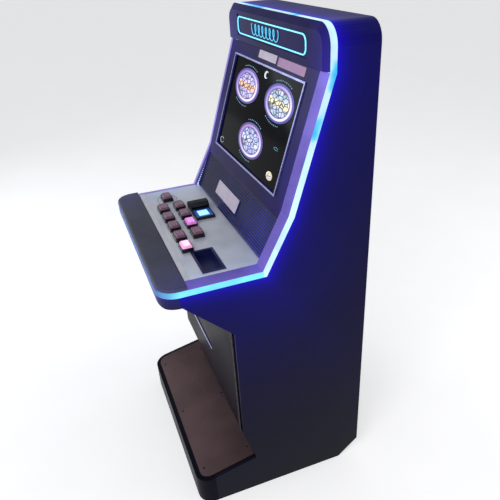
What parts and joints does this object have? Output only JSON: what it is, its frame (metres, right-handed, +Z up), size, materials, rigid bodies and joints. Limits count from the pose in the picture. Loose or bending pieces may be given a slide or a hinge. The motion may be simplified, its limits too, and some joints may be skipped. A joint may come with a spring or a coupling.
{
  "type": "slot machine",
  "caption": "Upright arcade slot machine with a tilted screen, lit sign and edge bands, push-button deck, bill hood, foot step, front door and rear door.",
  "frame": {"origin": "middle of the bounding box's footprint, on the floor", "axes": "+Z up, +X to the player's right as seen facing the cabinet, the player stands on the -Y side"},
  "size_m": [0.8, 0.7, 1.65],
  "materials": {
    "laminate_board": "dark gloss laminate over board",
    "black_plastic": "fine textured moulding",
    "bezel_gloss": "gloss dark bezel",
    "silver_trim": "satin anodised",
    "led_diffuser": "lit opal diffuser",
    "screen_glass": "dark display glass",
    "sign_face": "dark acrylic sign face",
    "armrest": "satin hand rest",
    "deck_metal": "brushed control plate",
    "foot_metal": "reflective kick plate",
    "button_lens": "lit translucent cap",
    "tray_plastic": "dark blue moulding",
    "circuit_board": "green laminate board",
    "lock_steel": "bright hardware",
    "sheet_steel": "grey coated sheet"
  },
  "bodies": {
    "cabinet": {"armrest_pad": "armrest", "base_tray": "laminate_board", "bill_hood": "black_plastic", "bill_tongue": "led_diffuser", "bill_validator": "black_plastic", "button_housing_01": "black_plastic", "button_housing_02": "black_plastic", "button_housing_03": "black_plastic", "button_housing_04": "black_plastic", "button_housing_05": "black_plastic", "button_housing_06": "black_plastic", "button_housing_07": "black_plastic", "button_housing_08": "black_plastic", "button_housing_09": "black_plastic", "button_housing_10": "black_plastic", "cash_box": "sheet_steel", "coin_tray": "tray_plastic", "control_plate": "deck_metal", "deck_border": "silver_trim", "deck_nose": "black_plastic", "foot_plate": "foot_metal", "foot_step": "laminate_board", "game_board": "circuit_board", "led_band_arch": "led_diffuser", "led_band_deck": "led_diffuser", "louvre_panel": "black_plastic", "lower_door_hinge": "lock_steel", "marquee_housing": "bezel_gloss", "monitor_bezel": "bezel_gloss", "monitor_body": "black_plastic", "power_inlet": "black_plastic", "power_supply": "sheet_steel", "rear_door_hinge": "lock_steel", "rear_panel": "laminate_board", "roof_shell": "laminate_board", "screen_frame": "silver_trim", "screen_glass": "screen_glass", "side_panel_left": "laminate_board", "side_panel_right": "laminate_board", "side_trim_left": "silver_trim", "side_trim_right": "silver_trim", "sign_panel": "sign_face", "speaker_left": "black_plastic", "speaker_right": "black_plastic", "toe_panel": "laminate_board", "under_deck_panel": "laminate_board"},
    "front_door": {"lower_door": "laminate_board"},
    "front_lock": {"lower_door_lock": "lock_steel"},
    "back_door": {"rear_door": "laminate_board"},
    "back_lock": {"rear_door_lock": "lock_steel"},
    "button_01": {"button_cap_01": "button_lens"},
    "button_02": {"button_cap_02": "button_lens"},
    "button_03": {"button_cap_03": "button_lens"},
    "button_04": {"button_cap_04": "button_lens"},
    "button_05": {"button_cap_05": "button_lens"},
    "button_06": {"button_cap_06": "button_lens"},
    "button_07": {"button_cap_07": "button_lens"},
    "button_08": {"button_cap_08": "button_lens"},
    "button_09": {"button_cap_09": "button_lens"},
    "button_10": {"button_cap_10": "button_lens"}
  },
  "joints": [
    {"name": "front_door_hinge", "type": "hinge", "parent": "cabinet", "child": "front_door", "pos_m": [0.3762, -0.134, 0.53], "axis": [0, 0, 1], "range_deg": [0, 100]},
    {"name": "front_lock_turn", "type": "hinge", "parent": "front_door", "child": "front_lock", "pos_m": [-0.33, -0.13, 0.7], "axis": [0, -1, 0], "range_deg": [0, 90]},
    {"name": "back_door_hinge", "type": "hinge", "parent": "cabinet", "child": "back_door", "pos_m": [0.236, 0.346, 0.75], "axis": [0, 0, -1], "range_deg": [0, 100]},
    {"name": "back_lock_turn", "type": "hinge", "parent": "back_door", "child": "back_lock", "pos_m": [-0.205, 0.342, 0.75], "axis": [0, 1, 0], "range_deg": [0, 90]},
    {"name": "button_01_press", "type": "slide", "parent": "cabinet", "child": "button_01", "axis": [0, 0, -1], "range_m": [0, 0.003], "stiffness_N_per_m": 400, "springref_m": -0.002},
    {"name": "button_02_press", "type": "slide", "parent": "cabinet", "child": "button_02", "axis": [0, 0, -1], "range_m": [0, 0.003], "stiffness_N_per_m": 400, "springref_m": -0.002},
    {"name": "button_03_press", "type": "slide", "parent": "cabinet", "child": "button_03", "axis": [0, 0, -1], "range_m": [0, 0.003], "stiffness_N_per_m": 400, "springref_m": -0.002},
    {"name": "button_04_press", "type": "slide", "parent": "cabinet", "child": "button_04", "axis": [0, 0, -1], "range_m": [0, 0.003], "stiffness_N_per_m": 400, "springref_m": -0.002},
    {"name": "button_05_press", "type": "slide", "parent": "cabinet", "child": "button_05", "axis": [0, 0, -1], "range_m": [0, 0.003], "stiffness_N_per_m": 400, "springref_m": -0.002},
    {"name": "button_06_press", "type": "slide", "parent": "cabinet", "child": "button_06", "axis": [0, 0, -1], "range_m": [0, 0.003], "stiffness_N_per_m": 400, "springref_m": -0.002},
    {"name": "button_07_press", "type": "slide", "parent": "cabinet", "child": "button_07", "axis": [0, 0, -1], "range_m": [0, 0.003], "stiffness_N_per_m": 400, "springref_m": -0.002},
    {"name": "button_08_press", "type": "slide", "parent": "cabinet", "child": "button_08", "axis": [0, 0, -1], "range_m": [0, 0.003], "stiffness_N_per_m": 400, "springref_m": -0.002},
    {"name": "button_09_press", "type": "slide", "parent": "cabinet", "child": "button_09", "axis": [0, 0, -1], "range_m": [0, 0.003], "stiffness_N_per_m": 400, "springref_m": -0.002},
    {"name": "button_10_press", "type": "slide", "parent": "cabinet", "child": "button_10", "axis": [0, 0, -1], "range_m": [0, 0.003], "stiffness_N_per_m": 400, "springref_m": -0.002}
  ]
}
